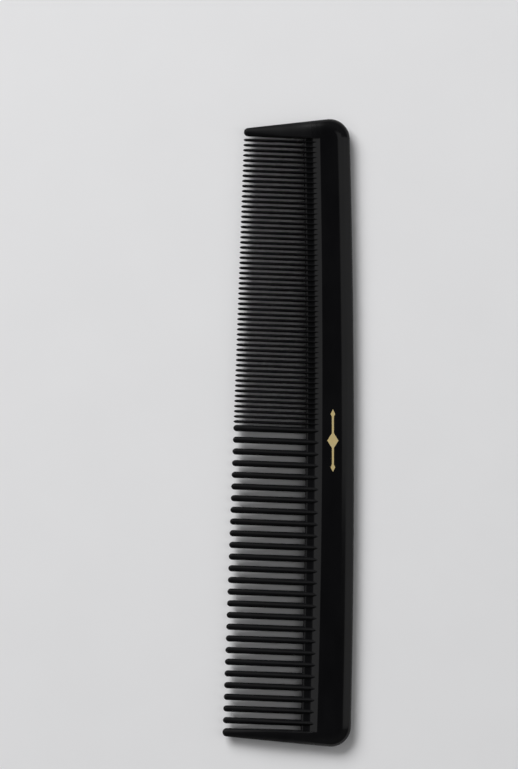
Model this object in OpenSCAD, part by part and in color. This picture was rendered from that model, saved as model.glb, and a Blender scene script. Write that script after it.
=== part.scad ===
// Two-pitch dressing comb, lying flat: coarse teeth on one half, fine teeth on the other.
// +X runs to the back edge, +Y to the fine end and +Z up. The origin is under the middle of the comb.

/* [Overall] */
// Length from end to end
comb_len = 191; // [170:1:210]
// Width at mid-length, from the back edge to the tooth tips
mid_w = 36.8; // [34:0.1:40]
// Thickness of the back
comb_thick = 4.4; // [4:0.1:5]
// Lean of the teeth and of the line of their tips, in degrees
lean = 2.05; // [0:0.05:3]

/* [Back] */
// Radius of the bowed back edge and root line, seen from above
bow_r = 3600; // [3000:100:5000]
// Place along the length where the back edge stands furthest out
back_apex_y = -6.5; // [-10:0.5:10]
// Place along the length where the root line stands furthest out
root_apex_y = 17.5; // [0:0.5:25]
// Width of the flat panel, from the back edge to the crease
panel_w = 9.6; // [8.6:0.1:10.4]
// Run of the bevel, from the crease down to the web
bevel_run = 2.6; // [1.8:0.1:3]
// Width of the web, from the foot of the bevel to the slot bottoms
web_w = 2.5; // [2:0.1:3.5]
// Thickness of the web
web_thick = 2; // [1.6:0.1:2.4]
// Radius of the two corners, seen from above
corner_r = 6.2; // [5:0.1:8]
// Run of the oval back edge, from the edge to the flat of the panel
edge_run = 4.5; // [2.4:0.1:4.5]

/* [Teeth] */
// Spacing of the coarse teeth
coarse_pitch = 3.555; // [3.2:0.005:4.5]
// Width of a coarse tooth
coarse_w = 1.95; // [1.6:0.05:2.2]
// Place along the length of the first coarse tip
coarse_first_y = 1.5; // [0:0.1:1.6]
// Spacing of the fine teeth
fine_pitch = 1.557; // [1.4:0.001:2]
// Width of a fine tooth
fine_w = 0.9; // [0.7:0.05:1]
// Place along the length of the first fine tip
fine_first_y = 3.5; // [3.4:0.05:4]
// Thickness of the teeth where they meet the bevel
tooth_root_thick = 3.4; // [3:0.1:3.6]
// Thickness of the teeth behind their round tips
tooth_tip_thick = 1.56; // [1.2:0.02:2]
// Length of the round of a tooth's tip
tip_run = 1.1; // [1:0.1:2.5]

/* [End guards] */
// Width of a guard behind its round tip
guard_tip_w = 2.6; // [2:0.1:2.8]
// Thickness of a guard behind its round tip
guard_tip_thick = 2; // [1.6:0.1:2.6]
// Length of the taper from a guard's tip to its full thickness
guard_taper = 12; // [8:0.5:16]
// Gap between a guard and the tooth beside it, as a share of that row's own gaps
guard_gap_share = 0.9; // [0.7:0.05:1.2]

/* [Foil mark] */
// Length of the gold ornament on the panel
mark_len = 19; // [16:0.5:26]
// Width of the ornament's middle lozenge
mark_w = 3.4; // [2.4:0.1:3.6]
// Width of the ornament's rules
mark_rule_w = 0.6; // [0.4:0.05:0.8]
// Distance of the ornament's middle line from the back edge
mark_d = 6.5; // [6.3:0.1:6.8]
// Place along the length of the ornament's middle
mark_y = -2.3; // [-40:0.1:40]
// Thickness of the foil
mark_thick = 0.05; // [0.04:0.01:0.1]

/* [Hidden] */
$fn = 48;

plastic = "#161618";
gold = "#a8986f";

half_len = comb_len / 2;
half_thick = comb_thick / 2;
web_half = web_thick / 2;
lean_run = tan(lean);

// Tooth rows run outward from the middle until they would crowd the guards
row_end_margin = 5.2;
coarse_n = floor((half_len + coarse_first_y - row_end_margin) / coarse_pitch) + 1;
fine_n = floor((half_len - fine_first_y - row_end_margin) / fine_pitch) + 1;
coarse_last_y = coarse_first_y - (coarse_n - 1) * coarse_pitch;
fine_last_y = fine_first_y + (fine_n - 1) * fine_pitch;

// Each guard's tip is a round set off from the last tooth of its row
guard_r = guard_tip_w / 2;
coarse_guard_y = coarse_last_y - coarse_w / 2 - guard_gap_share * (coarse_pitch - coarse_w) - guard_r;
fine_guard_y = fine_last_y + fine_w / 2 + guard_gap_share * (fine_pitch - fine_w) + guard_r;

// The comb is widest from its back edge to the coarse guard's tip, and is centred on that width
half_w = round(50 * (mid_w - lean_run * coarse_guard_y)) / 100;

// Distances of the root features from the back edge
foot_d = panel_w + bevel_run;
slot_d = foot_d + web_w;
// The teeth start inside the bevel, so that their crests end on it
bevel_bite = 0.9;
tooth_start_d = panel_w + bevel_bite;

// The slot bottoms are a little blunter than a half circle, which leaves a clean line
nose_blunt = 0.15;
nose_r = web_half * (1 + nose_blunt);
// Straight edges stop this far inside the corner rounds and the guards' tips
edge_lap = 0.06;
// Fineness of a full turn at the bow radius
bow_fn = 2400;
// The lens of a tooth's section is a little wider and taller than the tooth, which blunts its edges
lens_side = 0.02;
lens_rise = 1.05;
// Steps of the angle along a round tip and along the oval edge, in degrees
tip_step = 22.5;
edge_step = 15;
// Sizes of the ornament's lozenges
mark_mid_len = 1.6 * mark_w;
mark_end_w = mark_w / 2.4;
mark_end_len = 2 * mark_end_w;
// Oversize of the cutting shapes
over = 0.8;
end_over = 10;
reach = 60;
// Depth of the ring that rounds a corner
corner_ring_d = edge_run + over;

function drop(y, apex_y) = pow(y - apex_y, 2) / (2 * bow_r);
function back_x(y) = half_w - drop(y, back_apex_y);
function tip_x(y) = half_w - mid_w + lean_run * y;
function tooth_len(y) = half_w - tooth_start_d - drop(y, root_apex_y) - tip_x(y);
function coarse_y(i) = coarse_first_y - (i - 1) * coarse_pitch;
function fine_y(i) = fine_first_y + (i - 1) * fine_pitch;
function coarse_name(i) = str("coarse_tooth_", i < 10 ? "0" : "", i);

// Half ellipse with its tip at the origin, opening along +X
function tip_curve(half, run) = [for (a = [90 : -tip_step : -90]) [run * (1 - cos(a)), half * sin(a)]];

// Half ellipse of the oval edge, with its tip at the origin, opening along -X
edge_curve = [for (a = [-90 : edge_step : 90]) [edge_run * (cos(a) - 1), half_thick * sin(a)]];

// An end seen as if it were at +Y: centre of the guard's tip, centre of the corner, slope of the edge between
function end_tip(y) = [tip_x(y) + guard_r, abs(y)];
function end_corner(side) = [back_x(side * (half_len - corner_r)) - corner_r + edge_lap, half_len - corner_r];
function end_slope(tip, corner) = atan2(corner.y - tip.y, corner.x - tip.x)
    + asin((corner_r - guard_r) / norm(corner - tip));

coarse_tip = end_tip(coarse_guard_y);
fine_tip = end_tip(fine_guard_y);
coarse_corner = end_corner(-1);
fine_corner = end_corner(1);
coarse_slope = end_slope(coarse_tip, coarse_corner);
fine_slope = end_slope(fine_tip, fine_corner);

// Section of the plate beside its oval edge, which stands at x = 0
module edge_section(depth) {
    polygon(concat([[-depth, -half_thick]], edge_curve, [[-depth, half_thick]]));
}

// Sweeps a section along the bow between two places of the length, its x = 0 on the back edge's line
module bow(from_y, to_y, apex_y) {
    from_turn = asin((from_y - apex_y) / bow_r);
    to_turn = asin((to_y - apex_y) / bow_r);
    translate([half_w - bow_r, apex_y, 0])
        rotate_extrude(angle = to_turn - from_turn, start = from_turn, $fn = bow_fn)
            translate([bow_r, 0]) children();
}

// Plate with the bowed back edge, as wide as the comb
module back_plate(from_y, to_y) {
    bow(from_y, to_y, back_apex_y) edge_section(reach);
}

// Plate with one straight oval edge, for an end at +Y
module end_plate(corner, slope) {
    translate([corner.x, corner.y, 0])
        rotate([0, 0, slope])
            translate([-reach, corner_r - edge_lap, 0])
                rotate([90, 0, 90]) linear_extrude(1.5 * reach) edge_section(4 * reach);
}

// What a corner's round takes off, for an end at +Y
module corner_waste(corner, slope) {
    turn = (90 + slope) / 2;
    translate([corner.x, corner.y, 0]) difference() {
        rotate([0, 0, turn])
            translate([corner_r * cos(turn - slope / 2), -2 * corner_r, -comb_thick])
                cube([2 * corner_r, 4 * corner_r, 2 * comb_thick]);
        rotate_extrude() translate([corner_r, 0]) edge_section(corner_ring_d);
    }
}

// Section of the back's tooth side, measured from the back edge: bevel, web and round slot bottom
module root_section() {
    side_h = half_thick + over;
    crease_d = panel_w - over * bevel_run / (half_thick - web_half);
    nose_d = slot_d - nose_r;
    intersection() {
        polygon([
            [2 * over, -side_h],
            [2 * over, side_h],
            [-crease_d, side_h],
            [-foot_d, web_half],
            [-slot_d - over, web_half],
            [-slot_d - over, -web_half],
            [-foot_d, -web_half],
            [-crease_d, -side_h]
        ]);
        union() {
            translate([-nose_d, -2 * side_h]) square([nose_d + 4 * over, 4 * side_h]);
            translate([-nose_d, 0]) circle(r = nose_r);
        }
    }
}

// The back's tooth side between two places of the length
module root_side(from_y, to_y) {
    bow(from_y, to_y, root_apex_y) root_section();
}

// Ground that belongs to a guard, for an end at +Y: outward of the line beside the last tooth
module guard_ground(tip, tilt) {
    translate([tip.x, tip.y, 0])
        rotate([0, 0, tilt])
            translate([-reach, -guard_r, -comb_thick]) cube([2 * reach, reach, 2 * comb_thick]);
}

// Round tip and side taper of a guard, for an end at +Y
module guard_shape(tip, tilt) {
    tip_half = guard_tip_thick / 2;
    slope = (half_thick - tip_half) / guard_taper;
    translate([tip.x, tip.y, 0]) rotate([0, 0, tilt]) translate([-guard_r, 0, 0]) intersection() {
        linear_extrude(2 * comb_thick, center = true)
            polygon(concat(
                [[reach, 2 * corner_r], [guard_r, 2 * corner_r]],
                tip_curve(guard_r, guard_r),
                [[reach, -guard_r]]
            ));
        rotate([90, 0, 0]) linear_extrude(2 * reach, center = true)
            polygon(concat(
                tip_curve(tip_half, tip_run),
                [[reach, -tip_half - slope * reach], [reach, tip_half + slope * reach]]
            ));
    }
}

// Lens of the given half sizes, tall in its own y
module lens(half_width, half_height) {
    arc_r = (pow(half_width, 2) + pow(half_height, 2)) / (2 * half_width);
    intersection_for (side = [-1, 1]) translate([side * (arc_r - half_width), 0]) circle(r = arc_r);
}

// Tooth from its tip at the origin along +X, with a crest above and below
module tooth_body(length, width) {
    lens_half_w = width / 2 + lens_side;
    lens_half_h = lens_rise * tooth_root_thick / 2;
    intersection() {
        linear_extrude(comb_thick, center = true)
            polygon(concat(tip_curve(width / 2, tip_run), [[length, -width / 2], [length, width / 2]]));
        rotate([90, 0, 0]) linear_extrude(2 * width, center = true)
            polygon(concat(
                tip_curve(tooth_tip_thick / 2, tip_run),
                [[length, -tooth_root_thick / 2], [length, tooth_root_thick / 2]]
            ));
        rotate([90, 0, 90]) linear_extrude(length)
            lens(lens_half_w, lens_half_h);
    }
}

// Tooth in its place, its root forked over the web and ending on the bevel
module tooth(y, width) {
    translate([0, 0, half_thick]) difference() {
        translate([tip_x(y), y, 0]) rotate([0, 0, -lean]) tooth_body(tooth_len(y), width);
        root_side(y - end_over, y + end_over);
    }
}

module back() {
    color(plastic) translate([0, 0, half_thick]) difference() {
        intersection() {
            back_plate(-half_len - end_over, half_len + end_over);
            root_side(-half_len - end_over, half_len + end_over);
        }
        guard_ground(fine_tip, -lean);
        corner_waste(fine_corner, fine_slope);
        mirror([0, 1, 0]) {
            guard_ground(coarse_tip, lean);
            corner_waste(coarse_corner, coarse_slope);
        }
        translate([0, 0, half_thick - mark_thick]) linear_extrude(over) mark_outline();
    }
}

module coarse_end_guard() {
    color(plastic) translate([0, 0, half_thick]) difference() {
        intersection() {
            back_plate(-half_len - end_over, -half_len + 2 * end_over);
            mirror([0, 1, 0]) end_plate(coarse_corner, coarse_slope);
            mirror([0, 1, 0]) guard_shape(coarse_tip, lean);
        }
        mirror([0, 1, 0]) corner_waste(coarse_corner, coarse_slope);
    }
}

module fine_end_guard() {
    color(plastic) translate([0, 0, half_thick]) difference() {
        intersection() {
            back_plate(half_len - 2 * end_over, half_len + end_over);
            end_plate(fine_corner, fine_slope);
            guard_shape(fine_tip, -lean);
        }
        corner_waste(fine_corner, fine_slope);
    }
}

module coarse_tooth(i) {
    color(plastic) tooth(coarse_y(i), coarse_w);
}

module fine_teeth() {
    color(plastic) for (i = [1 : fine_n]) tooth(fine_y(i), fine_w);
}

// Gold ornament, pressed into the upper face of the panel until it is flush
module foil_mark() {
    color(gold) translate([0, 0, comb_thick - mark_thick]) linear_extrude(mark_thick) mark_outline();
}

// The ornament seen from above: a lozenge between two rules that end in small lozenges
module mark_outline() {
    translate([half_w - mark_d, mark_y]) {
        lozenge(mark_w, mark_mid_len);
        square([mark_rule_w, mark_len - mark_end_w], center = true);
        for (side = [-1, 1])
            translate([0, side * (mark_len - mark_end_len) / 2]) lozenge(mark_end_w, mark_end_len);
    }
}

module lozenge(width, length) {
    polygon([[width / 2, 0], [0, length / 2], [-width / 2, 0], [0, -length / 2]]);
}

back();
coarse_end_guard();
fine_end_guard();
for (i = [1 : coarse_n]) coarse_tooth(i);
fine_teeth();
foil_mark();
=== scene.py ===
"""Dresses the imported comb: bowed back, end guards, a coarse and a fine row of teeth, gold foil ornament."""

import math

import bmesh
import bpy
from bpy.props import FloatProperty, FloatVectorProperty, IntProperty, PointerProperty
from mathutils import Matrix, Vector


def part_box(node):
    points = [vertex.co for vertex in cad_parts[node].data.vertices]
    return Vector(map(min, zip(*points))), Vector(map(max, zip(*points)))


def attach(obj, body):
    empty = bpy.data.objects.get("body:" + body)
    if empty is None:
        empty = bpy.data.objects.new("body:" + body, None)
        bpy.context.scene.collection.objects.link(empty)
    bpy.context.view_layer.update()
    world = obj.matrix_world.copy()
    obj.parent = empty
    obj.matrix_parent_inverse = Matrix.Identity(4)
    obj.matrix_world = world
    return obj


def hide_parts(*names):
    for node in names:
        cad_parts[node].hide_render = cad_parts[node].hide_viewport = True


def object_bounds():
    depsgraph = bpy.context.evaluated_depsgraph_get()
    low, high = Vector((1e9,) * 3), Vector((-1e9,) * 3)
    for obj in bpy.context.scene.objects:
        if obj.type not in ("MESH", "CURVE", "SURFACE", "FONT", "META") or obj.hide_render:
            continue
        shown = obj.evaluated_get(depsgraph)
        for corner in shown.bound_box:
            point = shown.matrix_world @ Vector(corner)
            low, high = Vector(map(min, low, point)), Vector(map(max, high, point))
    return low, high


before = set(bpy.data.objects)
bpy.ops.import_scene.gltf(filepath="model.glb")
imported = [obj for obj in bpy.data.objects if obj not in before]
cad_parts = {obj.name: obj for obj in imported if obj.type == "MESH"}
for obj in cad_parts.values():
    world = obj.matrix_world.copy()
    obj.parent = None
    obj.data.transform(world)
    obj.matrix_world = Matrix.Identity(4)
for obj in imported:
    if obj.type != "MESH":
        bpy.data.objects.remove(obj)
cad_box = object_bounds()

bl_info = {
    "name": "Dressing Comb",
    "version": (1, 0, 0),
    "blender": (4, 5, 0),
    "location": "3D View > Sidebar > Comb",
    "description": "Models a two-pitch dressing comb piece by piece around its packed solids",
    "category": "Add Mesh",
}

MM = 0.001

# Distances within which points are at the same place, are welded together, or lie on the same plane.
SAME_PLACE = 0.01 * MM
WELD_DISTANCE = 0.001 * MM
EXACT = 0.0001 * MM
# Least part of a face's normal along an axis that it faces.
FACING = 0.9
# Profile of a bevel that is round.
ROUND_PROFILE = 0.5

# Angles in degrees up to which faces are shaded as one surface: back and guards, teeth, foil.
BACK_SMOOTH = 30
TOOTH_SMOOTH = 60
FOIL_SMOOTH = 5

# Cells of noise per metre along each axis, and depths of the bumps that they make.
HAZE_CELLS = (160, 60, 160)
MARK_CELLS = (9000, 260, 9000)
RIPPLE_CELLS = (420, 420, 420)
RIPPLE_DEPTH = 0.004 * MM
GRAIN_CELLS = (5200, 5200, 5200)
GRAIN_DEPTH = 0.0008 * MM
PATCH_CELLS = (900, 900, 900)
PRESS_CELLS = (7000, 7000, 7000)
PRESS_DEPTH = 0.0025 * MM
FLOOR_CELLS = (40, 40, 40)

# Range of a noise that is stretched over its whole effect.
NOISE_SPAN = (0.3, 0.7)

# Shares of the plastic's roughness between which its handling marks vary.
MARK_SPREAD = (0.94, 1.1)
# Least and greatest roughness of the foil.
FOIL_ROUGHNESS = (0.4, 0.55)
FOIL_METALLIC = 0.5

# How much sharper than an oval the crest of a tooth is at its root.
CREST_SHARPNESS = 0.5
# Share of the tip's run beyond which a copied tooth is stretched.
BEHIND_TIP = 1.01

COARSE_NODES = sorted(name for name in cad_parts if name.startswith("coarse_tooth"))
CAD_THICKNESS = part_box("back")[1].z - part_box("back")[0].z
CAD_LENGTH = cad_box[1].y - cad_box[0].y


def length_prop(name, description, default):
    """Length in metres that a user may change."""
    return FloatProperty(
        name=name, description=description, default=default, unit="LENGTH", subtype="DISTANCE", precision=5
    )


def share_prop(name, description, default):
    """Share between 0 and 1 that a user may change."""
    return FloatProperty(name=name, description=description, default=default, subtype="FACTOR", min=0, max=1)


def radiance_prop(name, description, default):
    """Radiance of a light that a user may change."""
    return FloatProperty(name=name, description=description, default=default, min=0)


def colour_prop(name, description, default):
    """Linear colour that a user may change."""
    return FloatVectorProperty(
        name=name, description=description, default=default, subtype="COLOR", min=0, max=1, size=3
    )


class CombBackSizes(bpy.types.PropertyGroup):
    """Sizes of the back and of the comb as a whole."""

    length: length_prop("Length", "Length of the comb from end to end", CAD_LENGTH)
    thickness: length_prop("Thickness", "Thickness of the panel", CAD_THICKNESS)
    half_width: length_prop("Half width", "Place of the back edge where it stands furthest out", 20.03 * MM)
    mid_width: length_prop("Mid width", "Width from the back edge to the tips at mid-length", 36.8 * MM)
    bow_radius: length_prop("Bow radius", "Radius of the bowed back edge and root line", 3600 * MM)
    back_apex: length_prop("Back apex", "Place along Y where the back edge stands furthest out", -6.5 * MM)
    root_apex: length_prop("Root apex", "Place along Y where the root line stands furthest out", 17.5 * MM)
    panel_width: length_prop("Panel width", "Width from the back edge to the crease", 9.6 * MM)
    bevel_run: length_prop("Bevel run", "Run of the bevel from the crease to the web", 2.6 * MM)
    web_width: length_prop("Web width", "Width of the web from the bevel to the slot bottoms", 2.5 * MM)
    web_thickness: length_prop("Web thickness", "Thickness of the web", 2.0 * MM)
    corner_radius: length_prop("Corner radius", "Radius of the two corners seen from above", 6.2 * MM)
    edge_run: length_prop("Edge run", "Run of the oval back edge in to the flat of the panel", 4.5 * MM)
    crease_round: length_prop("Crease round", "Softening of the crease between panel and bevel", 0.16 * MM)
    foot_fillet: length_prop("Foot fillet", "Fillet between the bevel and the web", 0.5 * MM)


class CombToothSizes(bpy.types.PropertyGroup):
    """Sizes of the two rows of teeth."""

    lean: FloatProperty(
        name="Lean",
        description="Lean of the teeth",
        default=math.radians(2.05),
        unit="ROTATION",
        subtype="ANGLE",
    )
    coarse_width: length_prop("Coarse width", "Width of a coarse tooth", 1.95 * MM)
    coarse_pitch: length_prop("Coarse pitch", "Spacing of the coarse teeth", 3.555 * MM)
    coarse_first: length_prop("First coarse tip", "Place along the length of the first coarse tip", 1.5 * MM)
    fine_width: length_prop("Fine width", "Width of a fine tooth", 0.9 * MM)
    fine_pitch: length_prop("Fine pitch", "Spacing of the fine teeth", 1.557 * MM)
    fine_first: length_prop("First fine tip", "Place along the length of the first fine tip", 3.5 * MM)
    fine_count: IntProperty(name="Fine teeth", description="Number of fine teeth", default=56, min=1)
    root_thickness: length_prop("Root thickness", "Thickness of the teeth at the bevel", 3.4 * MM)
    tip_thickness: length_prop("Tip thickness", "Thickness of the teeth behind their tips", 1.56 * MM)
    tip_run: length_prop("Tip run", "Length of the round of a tip", 1.1 * MM)
    bevel_bite: length_prop("Bevel bite", "How far below the crease the teeth start", 0.9 * MM)


class CombGuardSizes(bpy.types.PropertyGroup):
    """Sizes of the two end guards."""

    tip_width: length_prop("Tip width", "Width of a guard behind its tip", 2.6 * MM)
    tip_thickness: length_prop("Tip thickness", "Thickness of a guard behind its tip", 2.0 * MM)
    taper: length_prop("Taper", "Length of the taper from the tip to the full thickness", 12 * MM)
    gap_share: share_prop("Gap share", "Gap beside a guard as a share of its row's gaps", 0.9)
    inner_round: length_prop("Inner round", "Round of the edges that face the teeth", 0.45 * MM)


class CombFoilSizes(bpy.types.PropertyGroup):
    """Sizes of the gold ornament on the panel."""

    length: length_prop("Length", "Length of the ornament", 19 * MM)
    width: length_prop("Width", "Width of the middle lozenge", 3.4 * MM)
    rule_width: length_prop("Rule width", "Width of the rules", 0.6 * MM)
    depth: length_prop("Depth", "Depth of the foil in the panel", 0.05 * MM)
    rise: length_prop("Rise", "Height of the foil over the panel", 0.012 * MM)


class CombFinish(bpy.types.PropertyGroup):
    """Colours and polish of the plastic and the foil."""

    plastic: colour_prop("Plastic", "Colour of the black plastic", (0.0024, 0.0024, 0.0028))
    plastic_haze: colour_prop("Plastic haze", "Colour of the hazed plastic", (0.0038, 0.0038, 0.0043))
    polish: share_prop("Polish", "Roughness of the back and of the corners", 0.12)
    polish_shine: share_prop("Polish shine", "Specular level of the back and of the corners", 0.2)
    satin: share_prop("Satin", "Roughness of the teeth", 0.5)
    satin_shine: share_prop("Satin shine", "Specular level of the teeth", 0.08)
    gold: colour_prop("Gold", "Colour of the foil", (0.70, 0.54, 0.23))
    gold_pale: colour_prop("Pale gold", "Colour of the foil where it is thin", (0.64, 0.53, 0.28))


class CombStage(bpy.types.PropertyGroup):
    """Floor, light and camera."""

    floor: colour_prop("Floor", "Colour of the floor", (0.80, 0.80, 0.81))
    key: radiance_prop("Key", "Radiance of the lamp beyond the fine tips", 13)
    tooth_side: radiance_prop("Tooth side", "Radiance of the lamp beyond the tips", 0.92)
    back_side: radiance_prop("Back side", "Radiance of the lamp beyond the back", 0.72)
    overhead: radiance_prop("Overhead", "Radiance of the lamp over the back", 0.74)
    sky: radiance_prop("Sky", "Radiance of the surroundings near the floor", 0.2)
    zenith: radiance_prop("Zenith", "Radiance of the surroundings overhead", 0.06)
    view_height: length_prop("View height", "Height of the picture on the floor", 233.4 * MM)
    view_x: length_prop("View X", "Place under the middle of the picture, across the comb", -8.9 * MM)
    view_y: length_prop("View Y", "Place under the middle of the picture, along the comb", 14.72 * MM)
    lens: FloatProperty(
        name="Lens",
        description="Focal length in millimetres",
        default=135,
        min=1,
        unit="CAMERA",
        subtype="DISTANCE_CAMERA",
    )


class CombEnd:
    """Plan of one end of the comb, drawn as if it were the end at +Y, with its guard's tip and its corner."""

    def __init__(self, scene, side, guard_y):
        back, teeth, guard = scene.comb_back, scene.comb_teeth, scene.comb_guards
        self.side = side
        self.mid_z = back.thickness / 2
        self.tip_r = guard.tip_width / 2
        self.corner_r = back.corner_radius
        self.tip = Vector((tip_x(scene, guard_y) + self.tip_r, abs(guard_y)))
        corner_y = back.length / 2 - back.corner_radius
        inner_r = back.bow_radius - back.corner_radius
        apex_run = corner_y - side * back.back_apex
        corner_x = back.half_width - back.bow_radius + math.sqrt(inner_r**2 - apex_run**2)
        self.corner = Vector((corner_x, corner_y))
        self.bow_turn = math.asin(apex_run / inner_r)
        gap = self.corner - self.tip
        self.tilt = -side * teeth.lean
        self.slope = math.atan2(gap.y, gap.x) + math.asin((self.corner_r - self.tip_r) / gap.length)
        self.along = Vector((math.cos(self.tilt), math.sin(self.tilt)))
        self.across = Vector((-math.sin(self.tilt), math.cos(self.tilt)))
        self.spread = self.slope - self.tilt

    def place(self, run, off, z):
        """Point in the comb's frame from its run along the guard, its offset across it and its height."""
        spot = self.tip + run * self.along + off * self.across
        return Vector((spot.x, self.side * spot.y, self.mid_z + z))

    def run_of(self, spot):
        """Run along the guard of a point of the plan."""
        return (spot - self.tip).dot(self.along)

    def outer_off(self, run):
        """Offset of the guard's straight outer edge at a run along it."""
        return (self.tip_r + run * math.sin(self.spread)) / math.cos(self.spread)

    def on_corner(self, inset, turn):
        """Point of the plan on the corner, inset from its edge."""
        return self.corner + (self.corner_r - inset) * Vector((math.cos(turn), math.sin(turn)))

    def joint_turn(self, inset):
        """Turn at which the corner, inset from its edge, meets the line where the guard joins the back."""
        off = (self.corner - self.tip).dot(self.across)
        return self.tilt + math.asin((-self.tip_r - off) / (self.corner_r - inset))


def tip_x(scene, y):
    """Place of the line of tooth tips across the comb."""
    back = scene.comb_back
    return back.half_width - back.mid_width + math.tan(scene.comb_teeth.lean) * y


def drop(scene, y, apex):
    """How far the bow has fallen away from its apex."""
    return (y - apex) ** 2 / (2 * scene.comb_back.bow_radius)


def comb_ends(scene):
    """Plans of the coarse and the fine end, by the sign of their place along the length."""
    teeth, guard = scene.comb_teeth, scene.comb_guards
    coarse_last = teeth.coarse_first - (len(COARSE_NODES) - 1) * teeth.coarse_pitch
    fine_last = teeth.fine_first + (teeth.fine_count - 1) * teeth.fine_pitch
    coarse_room = teeth.coarse_width / 2 + guard.gap_share * (teeth.coarse_pitch - teeth.coarse_width)
    fine_room = teeth.fine_width / 2 + guard.gap_share * (teeth.fine_pitch - teeth.fine_width)
    return {
        -1: CombEnd(scene, -1, coarse_last - coarse_room - guard.tip_width / 2),
        1: CombEnd(scene, 1, fine_last + fine_room + guard.tip_width / 2),
    }


def deselect_all():
    """Leaves nothing selected, in object mode."""
    if bpy.context.object and bpy.context.object.mode != "OBJECT":
        bpy.ops.object.mode_set(mode="OBJECT")
    bpy.ops.object.select_all(action="DESELECT")


def pick(kind, test):
    """Selects what passes the test, of the vertices, edges or faces of the mesh in edit mode."""
    bpy.ops.mesh.select_mode(type=kind)
    bpy.ops.mesh.select_all(action="DESELECT")
    mesh = bpy.context.edit_object.data
    edit = bmesh.from_edit_mesh(mesh)
    items = {"VERT": edit.verts, "EDGE": edit.edges, "FACE": edit.faces}[kind]
    chosen = [item for item in items if test(item)]
    if not chosen:
        raise RuntimeError(f"no {kind.lower()} of {bpy.context.edit_object.name} to select")
    for item in chosen:
        item.select_set(True)
    bmesh.update_edit_mesh(mesh)


def runs_along_length(edge, x=None, z=None):
    """Whether an edge runs along Y, at a place across the comb and a distance from the mid-plane."""
    first, last = (vert.co for vert in edge.verts)
    if abs(first.x - last.x) > SAME_PLACE or abs(first.z - last.z) > SAME_PLACE:
        return False
    at_x = x is None or abs(first.x - x) < SAME_PLACE
    at_z = z is None or abs(abs(first.z) - z) < SAME_PLACE
    return at_x and at_z


def ring_loft(name, rings):
    """Closed solid extruded ring by ring from a filled circle."""
    deselect_all()
    bpy.ops.mesh.primitive_circle_add(
        vertices=len(rings[0]), radius=MM, fill_type="NGON", enter_editmode=True
    )
    piece = bpy.context.object
    piece.name = piece.data.name = name
    edit = bmesh.from_edit_mesh(piece.data)
    column = edit.verts.layers.int.new("column")
    for place, vert in enumerate(edit.verts):
        vert[column] = place
        vert.co = rings[0][place]
    bmesh.update_edit_mesh(piece.data)
    for ring in rings[1:]:
        bpy.ops.mesh.extrude_region_move()
        edit = bmesh.from_edit_mesh(piece.data)
        column = edit.verts.layers.int["column"]
        for vert in edit.verts:
            if vert.select:
                vert.co = ring[vert[column]]
        bmesh.update_edit_mesh(piece.data)
    edit = bmesh.from_edit_mesh(piece.data)
    edit.verts.layers.int.remove(edit.verts.layers.int["column"])
    bpy.ops.mesh.select_all(action="SELECT")
    bpy.ops.mesh.remove_doubles(threshold=WELD_DISTANCE)
    bpy.ops.mesh.normals_make_consistent(inside=False)
    bpy.ops.object.mode_set(mode="OBJECT")
    return piece


def finish_piece(piece, material, nodes, smooth=BACK_SMOOTH):
    """Smooths and dresses a piece, and lets it stand for its solids."""
    deselect_all()
    piece.select_set(True)
    bpy.context.view_layer.objects.active = piece
    bpy.ops.object.transform_apply(location=True, rotation=True, scale=True)
    bpy.ops.object.shade_smooth_by_angle(angle=math.radians(smooth))
    piece.data.materials.clear()
    piece.data.materials.append(material)
    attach(piece, "root")
    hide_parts(*nodes)


def new_material(name):
    """Material with its node tree and its principled shader."""
    material = bpy.data.materials.new(name)
    material.use_nodes = True
    tree = material.node_tree
    return material, tree, tree.nodes["Principled BSDF"]


def add_node(tree, kind, **settings):
    """New shader node with its inputs set by name."""
    node = tree.nodes.new(kind)
    for name, value in settings.items():
        node.inputs[name.replace("_", " ")].default_value = value
    return node


def object_noise(tree, cells, detail):
    """Noise on the piece's own coordinates, with cells per metre along each axis."""
    coords = tree.nodes.new("ShaderNodeTexCoord")
    mapping = add_node(tree, "ShaderNodeMapping", Scale=cells)
    noise = add_node(tree, "ShaderNodeTexNoise", Scale=1.0, Detail=detail)
    tree.links.new(coords.outputs["Object"], mapping.inputs["Vector"])
    tree.links.new(mapping.outputs["Vector"], noise.inputs["Vector"])
    return noise.outputs["Fac"]


def spread_value(tree, source, low, high, span=NOISE_SPAN):
    """Stretches a span of a value, such as a noise, between a low and a high value."""
    node = add_node(tree, "ShaderNodeMapRange", From_Min=span[0], From_Max=span[1], To_Min=low, To_Max=high)
    tree.links.new(source, node.inputs["Value"])
    return node.outputs["Result"]


def mix_colours(tree, source, first, second):
    """Colour that a value blends between two."""
    mix = tree.nodes.new("ShaderNodeMix")
    mix.data_type = "RGBA"
    mix.inputs["A"].default_value = (*first, 1)
    mix.inputs["B"].default_value = (*second, 1)
    tree.links.new(source, mix.inputs["Factor"])
    return mix.outputs["Result"]


def combine(tree, operation, first, second):
    """Value worked out from two others."""
    node = tree.nodes.new("ShaderNodeMath")
    node.operation = operation
    tree.links.new(first, node.inputs[0])
    tree.links.new(second, node.inputs[1])
    return node.outputs["Value"]


def bump(tree, height, depth, under=None):
    """Bump of a real depth from a height between 0 and 1, on top of another bump if there is one."""
    node = add_node(tree, "ShaderNodeBump", Strength=1.0, Distance=depth)
    tree.links.new(height, node.inputs["Height"])
    if under:
        tree.links.new(under, node.inputs["Normal"])
    return node.outputs["Normal"]


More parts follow.
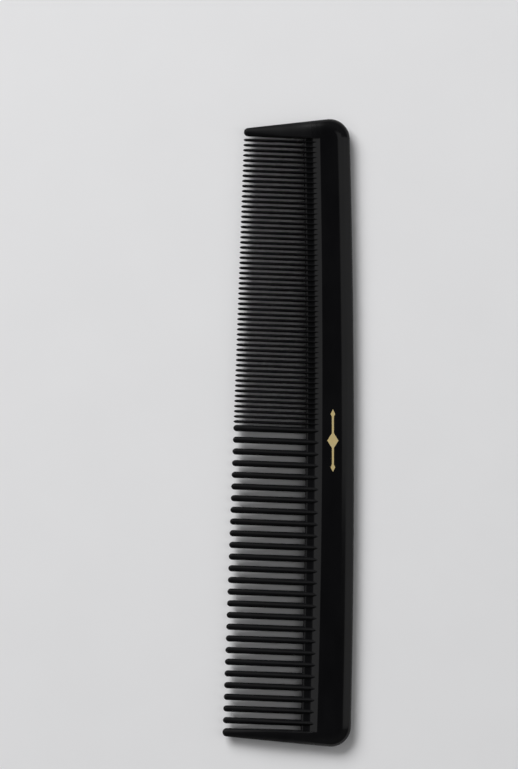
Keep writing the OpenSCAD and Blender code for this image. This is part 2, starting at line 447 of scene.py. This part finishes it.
def black_plastic(name, finish, roughness, shine):
    """Black moulded plastic: faint haze, fine handling marks along the length, soft moulded ripple."""
    if name in bpy.data.materials:
        return bpy.data.materials[name]
    material, tree, shader = new_material(name)
    haze = object_noise(tree, HAZE_CELLS, detail=3)
    colour = mix_colours(tree, spread_value(tree, haze, 0, 1), finish.plastic, finish.plastic_haze)
    tree.links.new(colour, shader.inputs["Base Color"])
    marks = object_noise(tree, MARK_CELLS, detail=2)
    least, most = (share * roughness for share in MARK_SPREAD)
    tree.links.new(spread_value(tree, marks, least, most), shader.inputs["Roughness"])
    ripple = bump(tree, object_noise(tree, RIPPLE_CELLS, detail=1), RIPPLE_DEPTH)
    grain = bump(tree, object_noise(tree, GRAIN_CELLS, detail=1), GRAIN_DEPTH, under=ripple)
    tree.links.new(grain, shader.inputs["Normal"])
    shader.inputs["Specular IOR Level"].default_value = shine
    return material


def comb_plastic(scene, satin=0.0):
    """Plastic with a finish between the polish of the back, at 0, and the satin of the teeth, at 1."""
    finish = scene.comb_finish
    return black_plastic(
        f"black_moulding_{satin:.3f}_satin",
        finish,
        finish.polish + satin * (finish.satin - finish.polish),
        finish.polish_shine + satin * (finish.satin_shine - finish.polish_shine),
    )


def gold_foil(finish):
    """Hot-pressed gold foil: thin and paler in patches, with a fine pressed grain."""
    material, tree, shader = new_material("gold_foil_sheen")
    patches = object_noise(tree, PATCH_CELLS, detail=3)
    colour = mix_colours(tree, spread_value(tree, patches, 0, 1), finish.gold, finish.gold_pale)
    tree.links.new(colour, shader.inputs["Base Color"])
    grain = object_noise(tree, PRESS_CELLS, detail=2)
    tree.links.new(spread_value(tree, grain, *FOIL_ROUGHNESS), shader.inputs["Roughness"])
    tree.links.new(bump(tree, grain, PRESS_DEPTH), shader.inputs["Normal"])
    shader.inputs["Metallic"].default_value = FOIL_METALLIC
    return material


class COMB_OT_back(bpy.types.Operator):
    """Model the bowed back with its oval edge, bevel, web and round slot bottoms"""

    bl_idname = "comb.model_back"
    bl_label = "Model Back"

    ROWS = 150
    END_CUTS = 9
    EDGE_STEPS = 12
    NOSE_STEPS = 6
    CREASE_STEPS = 3
    FOOT_STEPS = 4
    # The straight back is this much shorter than the comb, because the guards form the ends.
    SHORTER = 4 * MM
    # The rows are finer from this far before the corners.
    CORNER_ROOM = 1 * MM
    # Shares of half the thickness that the rounds of the slot bottoms and of the back edge take.
    NOSE_SHARE = 0.98
    EDGE_SHARE = 0.995

    def execute(self, context):
        scene = context.scene
        sizes = scene.comb_back
        self.half = sizes.thickness / 2
        self.web_half = sizes.web_thickness / 2
        self.foot = sizes.panel_width + sizes.bevel_run
        piece = self.straight_back(scene)
        self.bow(scene, piece)
        self.cut_ends(scene, piece)
        finish_piece(piece, comb_plastic(scene), ["back"])
        return {"FINISHED"}

    def straight_back(self, scene):
        """The back before it is bowed, with its edge at x = 0 and its mid-plane at z = 0."""
        sizes = scene.comb_back
        deselect_all()
        bpy.ops.mesh.primitive_cube_add(
            size=1,
            location=(-sizes.panel_width / 2, 0, 0),
            scale=(sizes.panel_width, sizes.length - self.SHORTER, sizes.thickness),
        )
        piece = bpy.context.object
        piece.name = piece.data.name = "back_moulding"
        bpy.ops.object.transform_apply(location=True, rotation=True, scale=True)
        bpy.ops.object.mode_set(mode="EDIT")
        pick("EDGE", runs_along_length)
        bpy.ops.mesh.subdivide(number_cuts=self.ROWS)
        end_zone = sizes.length / 2 - sizes.corner_radius - self.CORNER_ROOM
        pick("EDGE", lambda edge: runs_along_length(edge) and abs(edge.verts[0].co.y) > end_zone)
        bpy.ops.mesh.subdivide(number_cuts=self.END_CUTS)
        pick("FACE", lambda face: face.normal.x < -FACING)
        bpy.ops.mesh.extrude_region_move(TRANSFORM_OT_translate={"value": (-sizes.bevel_run, 0, 0)})
        bpy.ops.transform.resize(
            value=(1, 1, sizes.web_thickness / sizes.thickness), center_override=(-self.foot, 0, 0)
        )
        bpy.ops.mesh.extrude_region_move(TRANSFORM_OT_translate={"value": (-sizes.web_width, 0, 0)})
        nose = -self.foot - sizes.web_width
        self.round_edges(nose, self.web_half, self.NOSE_SHARE * self.web_half, self.NOSE_STEPS)
        self.round_edges(0, self.half, self.EDGE_SHARE * self.half, self.EDGE_STEPS)
        self.round_edges(-sizes.panel_width, self.half, sizes.crease_round, self.CREASE_STEPS)
        self.round_edges(-self.foot, self.web_half, sizes.foot_fillet, self.FOOT_STEPS)
        return piece

    def round_edges(self, x, z, size, steps):
        """Rounds the two edges along the length at a place across the back."""
        pick("EDGE", lambda edge: runs_along_length(edge, x, z))
        bpy.ops.mesh.bevel(
            offset=size, segments=steps, profile=ROUND_PROFILE, affect="EDGES", offset_type="OFFSET"
        )

    def bow(self, scene, piece):
        """Bows the back edge and the root line and rounds the corners, seen from above."""
        ends = comb_ends(scene)
        bpy.ops.object.mode_set(mode="OBJECT")
        for vert in piece.data.vertices:
            depth, y = -vert.co.x, vert.co.y
            vert.co.x = self.bowed_x(scene, ends, depth, y)
            vert.co.z += self.half

    def bowed_x(self, scene, ends, depth, y):
        """Place across the comb of a point of the straight back, whose edge is drawn out into an oval."""
        sizes = scene.comb_back
        root_line = sizes.half_width - drop(scene, y, sizes.root_apex)
        if depth >= sizes.panel_width:
            return root_line - depth
        edge_x = self.edge_x(scene, ends, min(depth / self.half, 1) * sizes.edge_run, y)
        if depth <= self.half:
            return edge_x
        share = (depth - self.half) / (sizes.panel_width - self.half)
        return edge_x + share * (root_line - sizes.panel_width - edge_x)

    def edge_x(self, scene, ends, depth, y):
        """Place across the comb of a line that runs a little inside the back edge and round the corners."""
        sizes = scene.comb_back
        end = ends[1 if y > 0 else -1]
        reach = end.corner_r - depth
        over = abs(y) - end.corner.y
        if over > reach * math.sin(end.bow_turn):
            return end.corner.x + math.sqrt(max(reach**2 - over**2, 0))
        return sizes.half_width - drop(scene, y, sizes.back_apex) - depth

    def cut_ends(self, scene, piece):
        """Cuts the back off where the guards join it."""
        bpy.ops.object.mode_set(mode="EDIT")
        for end in comb_ends(scene).values():
            bpy.ops.mesh.select_all(action="SELECT")
            bpy.ops.mesh.bisect(
                plane_co=end.place(0, -end.tip_r, 0),
                plane_no=(end.across.x, end.side * end.across.y, 0),
                use_fill=True,
                clear_outer=True,
                threshold=EXACT,
            )
        bpy.ops.mesh.select_all(action="SELECT")
        bpy.ops.mesh.normals_make_consistent(inside=False)
        bpy.ops.object.mode_set(mode="OBJECT")


class COMB_OT_guards(bpy.types.Operator):
    """Model the two end guards with their oval outer edges, corners and tapered tips"""

    bl_idname = "comb.model_guards"
    bl_label = "Model End Guards"

    EDGE_STEPS = 12
    INNER_STEPS = 4
    TIP_TURNS = (8, 22, 38, 54, 70, 90)
    TOOTH_ROWS = 36
    BEVEL_ROWS = 6
    PANEL_ROWS = 4
    CORNER_ROWS = 22
    # Softening of the knee where the taper meets the full thickness.
    KNEE = 0.2 * MM
    # Greatest share of half the thickness that the inner round takes.
    INNER_SHARE = 0.98
    # Share of half the tip's width that the outer round takes.
    TIP_OUTER_SHARE = 0.95
    # Least flat between the two rounds.
    LEAST_FLAT = 0.05 * MM
    # The straight stretch ends this far before the corner.
    CORNER_ROOM = 1 * MM
    # The inner end of the last ring lies this far inside the oval edge.
    JOINT_ROOM = 0.3 * MM
    # The polish starts to fade on the panel's side of the crease, and fades toward the tip in equal steps.
    FADE_START = 2.5 * MM
    FADE_LENGTH = 12 * MM
    FADE_STEPS = 8

    def execute(self, context):
        scene = context.scene
        for end, name in zip(comb_ends(scene).values(), ("coarse", "fine")):
            piece = ring_loft(f"{name}_guard_moulding", self.rings(scene, end))
            finish_piece(piece, comb_plastic(scene), [f"{name}_end_guard"])
            self.fade_polish(scene, end, piece)
        return {"FINISHED"}

    def fade_polish(self, scene, end, piece):
        """Lets the polish of a guard's corner fade in steps into the satin of the teeth beside it."""
        for step in range(1, self.FADE_STEPS + 1):
            piece.data.materials.append(comb_plastic(scene, step / self.FADE_STEPS))
        polished_run = self.crease_run(scene, end) + self.FADE_START
        for face in piece.data.polygons:
            spot = Vector((face.center.x, end.side * face.center.y))
            share = (polished_run - end.run_of(spot)) / self.FADE_LENGTH
            face.material_index = round(self.FADE_STEPS * min(max(share, 0), 1))

    def half_thickness(self, scene, from_tip):
        """Half of a guard's thickness at a distance from its tip, with a soft knee at the full thickness."""
        sizes, run = scene.comb_guards, scene.comb_teeth.tip_run
        tip_half, full = sizes.tip_thickness / 2, scene.comb_back.thickness / 2
        if from_tip < run:
            return tip_half * math.sqrt(1 - (1 - from_tip / run) ** 2)
        tapered = tip_half + (full - tip_half) * (from_tip - run) / sizes.taper
        share = min(max(0.5 + 0.5 * (full - tapered) / self.KNEE, 0), 1)
        return full + share * (tapered - full) - self.KNEE * share * (1 - share)

    def section(self, outer_r, inner_r, half):
        """Points of a guard's section: which side they keep to, their distance from it, and their height."""
        inner_z = min(inner_r, self.INNER_SHARE * half)
        top = []
        for step in range(self.EDGE_STEPS + 1):
            turn = math.radians(90 * step / self.EDGE_STEPS)
            top.append(("outer", outer_r * (1 - math.cos(turn)), half * math.sin(turn)))
        for step in range(self.INNER_STEPS + 1):
            turn = math.radians(90 * step / self.INNER_STEPS)
            top.append(("inner", inner_r * (1 - math.sin(turn)), half - inner_z * (1 - math.cos(turn))))
        under = [(side, inset, -z) for side, inset, z in reversed(top[1:])]
        return top + under

    def rings(self, scene, end):
        """Rings of a guard from its tip to the corner and round to the joint with the back."""
        start_turn = math.pi / 2 + end.slope
        last_run = end.run_of(end.on_corner(0, start_turn)) - self.CORNER_ROOM
        rings = self.tip_rings(scene, end)
        rings += self.side_rings(scene, end, last_run)
        rings += self.corner_rings(scene, end, last_run, start_turn)
        return rings

    def tip_rings(self, scene, end):
        """Rings of the round tip."""
        rings = []
        for turn in self.TIP_TURNS:
            run, shrink = -end.tip_r * math.cos(math.radians(turn)), math.sin(math.radians(turn))
            half = self.half_thickness(scene, end.tip_r + run)
            width = shrink * end.tip_r
            ring = []
            for side, inset, z in self.section(self.TIP_OUTER_SHARE * width, width, half):
                ring.append(end.place(run, width - inset if side == "outer" else inset - width, z))
            rings.append(ring)
        return rings

    def side_rings(self, scene, end, last_run):
        """Rings of the straight stretch, whose inner round ends beside the bevel."""
        back, guard = scene.comb_back, scene.comb_guards
        crease_run = self.crease_run(scene, end) - back.crease_round
        foot_run = crease_run - back.bevel_run
        rings = []
        for run in self.runs((0, foot_run, crease_run, last_run)):
            half = self.half_thickness(scene, end.tip_r + run)
            off = end.outer_off(run)
            width = off + end.tip_r
            settle = min(run / guard.taper, 1)
            inner = end.tip_r + settle * (guard.inner_round - end.tip_r)
            inner *= min(max((crease_run - run) / (crease_run - foot_run), 0), 1)
            outer = min(back.edge_run, width - inner - self.LEAST_FLAT)
            ring = []
            for side, inset, z in self.section(outer, inner, half):
                ring.append(end.place(run, off - inset if side == "outer" else inset - end.tip_r, z))
            rings.append(ring)
        return rings

    def corner_rings(self, scene, end, last_run, start_turn):
        """Rings that fan out round the corner to the joint with the back."""
        back = scene.comb_back
        joint = end.on_corner(back.edge_run, end.joint_turn(back.edge_run))
        end_run = end.run_of(joint) - self.JOINT_ROOM
        rings = []
        for row in range(1, self.CORNER_ROWS + 1):
            share = row / self.CORNER_ROWS
            inner_run = last_run + share * (end_run - last_run)
            ring = []
            for side, inset, z in self.section(back.edge_run, 0, back.thickness / 2):
                if side == "outer":
                    turn = start_turn + share * (end.joint_turn(inset) - start_turn)
                    spot = end.on_corner(inset, turn)
                    ring.append(Vector((spot.x, end.side * spot.y, end.mid_z + z)))
                else:
                    ring.append(end.place(inner_run, -end.tip_r, z))
            rings.append(ring)
        return rings

    def runs(self, stops):
        """Runs of the rows between the stops: beside the teeth, beside the bevel and beside the panel."""
        for start, stop, rows in zip(stops, stops[1:], (self.TOOTH_ROWS, self.BEVEL_ROWS, self.PANEL_ROWS)):
            for row in range(1, rows + 1):
                yield start + (stop - start) * row / rows

    def crease_run(self, scene, end):
        """Run along a guard at which the crease of the back meets its inner side."""
        sizes = scene.comb_back
        crease_x = sizes.half_width - sizes.panel_width - drop(scene, end.side * end.tip.y, sizes.root_apex)
        return (crease_x - end.tip.x - end.tip_r * math.sin(end.tilt)) / math.cos(end.tilt)


def tooth_rings(scene, length, width, points, stations, tip_turns):
    """Rings of a tooth from its tip at the origin along +X, oval at the tip and crested at the root."""
    teeth = scene.comb_teeth
    rings = []

    def add_ring(run, shrink):
        grow = max(run - teeth.tip_run, 0) / (length - teeth.tip_run)
        half_z = shrink * (teeth.tip_thickness + grow * (teeth.root_thickness - teeth.tip_thickness)) / 2
        half_y = shrink * width / 2
        crest = 1 + CREST_SHARPNESS * grow
        ring = []
        for place in range(points):
            turn = 2 * math.pi * place / points
            level = math.cos(turn)
            y = half_y * math.copysign(abs(level) ** crest, level)
            ring.append(Vector((run, y, half_z * math.sin(turn))))
        rings.append(ring)

    for turn in tip_turns:
        add_ring(teeth.tip_run * (1 - math.cos(math.radians(turn))), math.sin(math.radians(turn)))
    for station in range(1, stations + 1):
        add_ring(teeth.tip_run + (length - teeth.tip_run) * station / stations, 1)
    return rings


def tooth_length(scene, y):
    """Length of the tooth whose tip is at a place along the comb."""
    back, teeth = scene.comb_back, scene.comb_teeth
    start = back.half_width - back.panel_width - teeth.bevel_bite - drop(scene, y, back.root_apex)
    return start - tip_x(scene, y)


def fit_tooth(scene, pattern, pattern_length, name, y):
    """Copy of the pattern tooth, stretched behind its tip to its own length and put in its place."""
    deselect_all()
    pattern.select_set(True)
    bpy.context.view_layer.objects.active = pattern
    bpy.ops.object.duplicate(linked=False)
    tooth = bpy.context.object
    tooth.name = tooth.data.name = name
    run = scene.comb_teeth.tip_run
    stretch = (tooth_length(scene, y) - run) / (pattern_length - run)
    bpy.ops.object.mode_set(mode="EDIT")
    pick("VERT", lambda vert: vert.co.x > BEHIND_TIP * run)
    bpy.ops.transform.resize(value=(stretch, 1, 1), center_override=(run, 0, 0))
    bpy.ops.object.mode_set(mode="OBJECT")
    place = Matrix.Translation((tip_x(scene, y), y, scene.comb_back.thickness / 2))
    tooth.matrix_world = place @ Matrix.Rotation(-scene.comb_teeth.lean, 4, "Z")
    bpy.ops.object.transform_apply(location=True, rotation=True, scale=True)
    return tooth


class COMB_OT_coarse_teeth(bpy.types.Operator):
    """Model one coarse tooth and copy it along the coarse half"""

    bl_idname = "comb.model_coarse_teeth"
    bl_label = "Model Coarse Teeth"

    POINTS = 28
    STATIONS = 14
    TIP_TURNS = (7, 18, 30, 42, 54, 66, 78, 90)

    def execute(self, context):
        scene = context.scene
        teeth = scene.comb_teeth
        length = tooth_length(scene, teeth.coarse_first)
        rings = tooth_rings(scene, length, teeth.coarse_width, self.POINTS, self.STATIONS, self.TIP_TURNS)
        pattern = ring_loft("coarse_tooth_pattern", rings)
        for place, node in enumerate(COARSE_NODES):
            y = teeth.coarse_first - place * teeth.coarse_pitch
            tooth = fit_tooth(scene, pattern, length, f"{node}_moulding", y)
            finish_piece(tooth, comb_plastic(scene, 1.0), [node], smooth=TOOTH_SMOOTH)
        bpy.data.objects.remove(pattern)
        return {"FINISHED"}


class COMB_OT_fine_teeth(bpy.types.Operator):
    """Model one fine tooth, copy it along the fine half and join the row"""

    bl_idname = "comb.model_fine_teeth"
    bl_label = "Model Fine Teeth"

    POINTS = 16
    STATIONS = 8
    TIP_TURNS = (8, 24, 42, 60, 76, 90)

    def execute(self, context):
        scene = context.scene
        teeth = scene.comb_teeth
        length = tooth_length(scene, teeth.fine_first)
        rings = tooth_rings(scene, length, teeth.fine_width, self.POINTS, self.STATIONS, self.TIP_TURNS)
        pattern = ring_loft("fine_tooth_pattern", rings)
        row = []
        for place in range(teeth.fine_count):
            y = teeth.fine_first + place * teeth.fine_pitch
            row.append(fit_tooth(scene, pattern, length, f"fine_tooth_{place + 1:02d}", y))
        bpy.data.objects.remove(pattern)
        deselect_all()
        for tooth in row:
            tooth.select_set(True)
        bpy.context.view_layer.objects.active = row[0]
        bpy.ops.object.join()
        joined = bpy.context.object
        joined.name = joined.data.name = "fine_teeth_moulding"
        finish_piece(joined, comb_plastic(scene, 1.0), ["fine_teeth"], smooth=TOOTH_SMOOTH)
        return {"FINISHED"}


class COMB_OT_foil(bpy.types.Operator):
    """Press the gold ornament into the panel"""

    bl_idname = "comb.press_foil"
    bl_label = "Press Foil Ornament"

    # Reach of the middle lozenge along the panel, as a share of its width.
    MID_REACH = 0.8
    # That width over half the width and over the reach of an end lozenge.
    END_WIDTH_PART = 4.8
    END_REACH_PART = 2.4
    # Share of its rise that the round of the foil's rim takes.
    RIM_SHARE = 0.7
    RIM_STEPS = 2

    def execute(self, context):
        scene = context.scene
        sizes = scene.comb_foil
        low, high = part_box("foil_mark")
        centre = (low + high) / 2
        panel_z = scene.comb_back.thickness
        bed_z = panel_z - sizes.depth
        outline = [Vector((x + centre.x, y + centre.y, bed_z)) for x, y in self.outline(sizes)]
        lift = Vector((0, 0, sizes.depth + sizes.rise))
        piece = ring_loft("foil_ornament", [outline, [point + lift for point in outline]])
        bpy.ops.object.mode_set(mode="EDIT")
        top = panel_z + sizes.rise
        pick("EDGE", lambda edge: all(abs(vert.co.z - top) < EXACT for vert in edge.verts))
        bpy.ops.mesh.bevel(
            offset=self.RIM_SHARE * sizes.rise, segments=self.RIM_STEPS, profile=ROUND_PROFILE, affect="EDGES"
        )
        bpy.ops.object.mode_set(mode="OBJECT")
        finish_piece(piece, gold_foil(scene.comb_finish), ["foil_mark"], smooth=FOIL_SMOOTH)
        return {"FINISHED"}

    def outline(self, sizes):
        """Corners of the ornament: a lozenge between two rules that end in small lozenges."""
        rule = sizes.rule_width / 2
        mid_x, mid_y = sizes.width / 2, self.MID_REACH * sizes.width
        end_x, end_y = sizes.width / self.END_WIDTH_PART, sizes.width / self.END_REACH_PART
        far = sizes.length / 2
        quarter = [
            (rule, mid_y * (1 - rule / mid_x)),
            (rule, far - end_y - end_y * (1 - rule / end_x)),
            (end_x, far - end_y),
        ]
        right = [(x, -y) for x, y in reversed(quarter)] + [(mid_x, 0)] + quarter
        left = [(-x, -y) for x, y in right]
        return right + [(0, far)] + left + [(0, -far)]


class COMB_OT_stage(bpy.types.Operator):
    """Lay the pale floor, hang the soft lamps and place the camera over the comb"""

    bl_idname = "comb.set_stage"
    bl_label = "Set Stage"

    FLOOR_RADIUS = 6
    FLOOR_SIDES = 96
    FLOOR_DROP = 0.02 * MM
    # Tone of the floor's darker patches.
    FLOOR_MOTTLE = 0.985
    FLOOR_ROUGHNESS = 0.9
    FLOOR_SHINE = 0.1
    # Distances over which the floor's own glow takes over from the lamps.
    FLOOR_FADE = (0.2, 0.9)
    FLOOR_GLOW = 0.95
    # Heights on a unit sphere over which the sky darkens, and the white low down in reflections ends.
    SKY_FADE = (0.75, 0.97)
    HORIZON_FADE = (0.1, 0.3)
    # Width of the camera's sensor in millimetres, and what it sees in metres.
    SENSOR = 36.0
    CLIP = (0.01, 50)
    LAMPS = {
        "key": {"place": (-1.314, 1.876, 1.432), "size": (2.0, 1.1), "facing": (0, 0, 0)},
        "tooth_side": {"place": (-0.99, 0, 0.843), "size": (0.64, 0.45), "facing": (0, 0, 0)},
        "back_side": {"place": (1.03, 0, 0.81), "size": (0.64, 1.13), "facing": (0, 0, 0)},
        "overhead": {"place": (0.445, 0.21, 1.222), "size": (0.57, 0.38), "facing": (0, 0.21, 0)},
    }

    def execute(self, context):
        scene = context.scene
        stage = scene.comb_stage
        scene.view_settings.view_transform = "Standard"
        self.floor(stage)
        self.sky(scene, stage)
        for name, lamp in self.LAMPS.items():
            self.lamp(f"{name}_lamp", radiance=getattr(stage, name), **lamp)
        self.camera(scene, stage)
        return {"FINISHED"}

    def floor(self, stage):
        """Pale floor that the comb lies on, a hair below the underside."""
        deselect_all()
        bpy.ops.mesh.primitive_circle_add(
            vertices=self.FLOOR_SIDES,
            radius=self.FLOOR_RADIUS,
            fill_type="NGON",
            location=(0, 0, -self.FLOOR_DROP),
        )
        floor = bpy.context.object
        floor.name = floor.data.name = "pale_floor"
        material, tree, shader = new_material("pale_floor")
        tone = spread_value(tree, object_noise(tree, FLOOR_CELLS, detail=2), 0, 1)
        darker = tuple(self.FLOOR_MOTTLE * part for part in stage.floor)
        tree.links.new(mix_colours(tree, tone, stage.floor, darker), shader.inputs["Base Color"])
        shader.inputs["Roughness"].default_value = self.FLOOR_ROUGHNESS
        shader.inputs["Specular IOR Level"].default_value = self.FLOOR_SHINE
        self.pale_distance(tree, shader, stage)
        floor.data.materials.append(material)

    def pale_distance(self, tree, shader, stage):
        """Keeps the floor as pale to the eye far from the lamps as it is under them."""
        coords = tree.nodes.new("ShaderNodeTexCoord")
        distance = tree.nodes.new("ShaderNodeVectorMath")
        distance.operation = "LENGTH"
        tree.links.new(coords.outputs["Object"], distance.inputs[0])
        far = spread_value(tree, distance.outputs["Value"], 0, 1, self.FLOOR_FADE)
        path = tree.nodes.new("ShaderNodeLightPath")
        seen = combine(tree, "MAXIMUM", path.outputs["Is Camera Ray"], self.mirrored(tree, path))
        glow = add_node(tree, "ShaderNodeEmission", Color=(*stage.floor, 1), Strength=self.FLOOR_GLOW)
        blend = tree.nodes.new("ShaderNodeMixShader")
        tree.links.new(combine(tree, "MULTIPLY", far, seen), blend.inputs["Fac"])
        tree.links.new(shader.outputs["BSDF"], blend.inputs[1])
        tree.links.new(glow.outputs["Emission"], blend.inputs[2])
        tree.links.new(blend.outputs["Shader"], tree.nodes["Material Output"].inputs["Surface"])

    def mirrored(self, tree, path):
        """Whether a ray comes by way of a shiny or clear surface."""
        return combine(tree, "MAXIMUM", path.outputs["Is Glossy Ray"], path.outputs["Is Transmission Ray"])

    def sky(self, scene, stage):
        """Soft surroundings, dark overhead, but white to the eye and low down in reflections."""
        world = bpy.data.worlds.new("soft_surroundings")
        scene.world = world
        world.use_nodes = True
        tree = world.node_tree
        background = tree.nodes["Background"]
        background.inputs["Color"].default_value = (1, 1, 1, 1)
        coords = tree.nodes.new("ShaderNodeTexCoord")
        split = tree.nodes.new("ShaderNodeSeparateXYZ")
        tree.links.new(coords.outputs["Generated"], split.inputs["Vector"])
        height = split.outputs["Z"]
        level = spread_value(tree, height, stage.sky, stage.zenith, self.SKY_FADE)
        low = spread_value(tree, height, 1, 0, self.HORIZON_FADE)
        path = tree.nodes.new("ShaderNodeLightPath")
        reflected = combine(tree, "MULTIPLY", low, self.mirrored(tree, path))
        seen = tree.nodes.new("ShaderNodeMix")
        seen.inputs["B"].default_value = 1.0
        white = combine(tree, "MAXIMUM", path.outputs["Is Camera Ray"], reflected)
        tree.links.new(white, seen.inputs["Factor"])
        tree.links.new(level, seen.inputs["A"])
        tree.links.new(seen.outputs["Result"], background.inputs["Strength"])

    def lamp(self, name, place, size, facing, radiance):
        """Soft lamp that faces a point on the floor, its width level and its height upright."""
        deselect_all()
        bpy.ops.object.light_add(type="AREA", location=place)
        lamp = bpy.context.object
        lamp.name = lamp.data.name = name
        lamp.data.shape = "RECTANGLE"
        lamp.data.size, lamp.data.size_y = size
        lamp.data.energy = radiance * math.pi * size[0] * size[1]
        lamp.rotation_euler = (Vector(facing) - Vector(place)).to_track_quat("-Z", "Y").to_euler()

    def camera(self, scene, stage):
        """Camera straight above, with the length of the comb upright in the picture."""
        distance = stage.view_height * stage.lens / self.SENSOR
        bpy.ops.object.camera_add(
            location=(stage.view_x, stage.view_y, scene.comb_back.thickness + distance), rotation=(0, 0, 0)
        )
        camera = bpy.context.object
        camera.name = camera.data.name = "photo_camera"
        camera.data.sensor_width = self.SENSOR
        camera.data.lens = stage.lens
        camera.data.clip_start, camera.data.clip_end = self.CLIP
        scene.camera = camera


class COMB_PT_panel(bpy.types.Panel):
    """Sizes and steps of the comb"""

    bl_idname = "COMB_PT_panel"
    bl_label = "Dressing Comb"
    bl_space_type = "VIEW_3D"
    bl_region_type = "UI"
    bl_category = "Comb"

    def draw(self, context):
        for operator in OPERATORS:
            self.layout.operator(operator.bl_idname)
        for name in GROUPS:
            box = self.layout.box()
            group = getattr(context.scene, name)
            for field in group.__annotations__:
                box.prop(group, field)


GROUPS = {
    "comb_back": CombBackSizes,
    "comb_teeth": CombToothSizes,
    "comb_guards": CombGuardSizes,
    "comb_foil": CombFoilSizes,
    "comb_finish": CombFinish,
    "comb_stage": CombStage,
}

OPERATORS = (
    COMB_OT_back,
    COMB_OT_guards,
    COMB_OT_coarse_teeth,
    COMB_OT_fine_teeth,
    COMB_OT_foil,
    COMB_OT_stage,
)


def register():
    for group in GROUPS.values():
        bpy.utils.register_class(group)
    for operator in OPERATORS:
        bpy.utils.register_class(operator)
    bpy.utils.register_class(COMB_PT_panel)
    for name, group in GROUPS.items():
        setattr(bpy.types.Scene, name, PointerProperty(type=group))


def unregister():
    for name in GROUPS:
        delattr(bpy.types.Scene, name)
    bpy.utils.unregister_class(COMB_PT_panel)
    for operator in reversed(OPERATORS):
        bpy.utils.unregister_class(operator)
    for group in reversed(GROUPS.values()):
        bpy.utils.unregister_class(group)


def main():
    register()
    bpy.ops.comb.model_back()
    bpy.ops.comb.model_guards()
    bpy.ops.comb.model_coarse_teeth()
    bpy.ops.comb.model_fine_teeth()
    bpy.ops.comb.press_foil()
    bpy.ops.comb.set_stage()
    deselect_all()


if __name__ == "__main__":
    main()
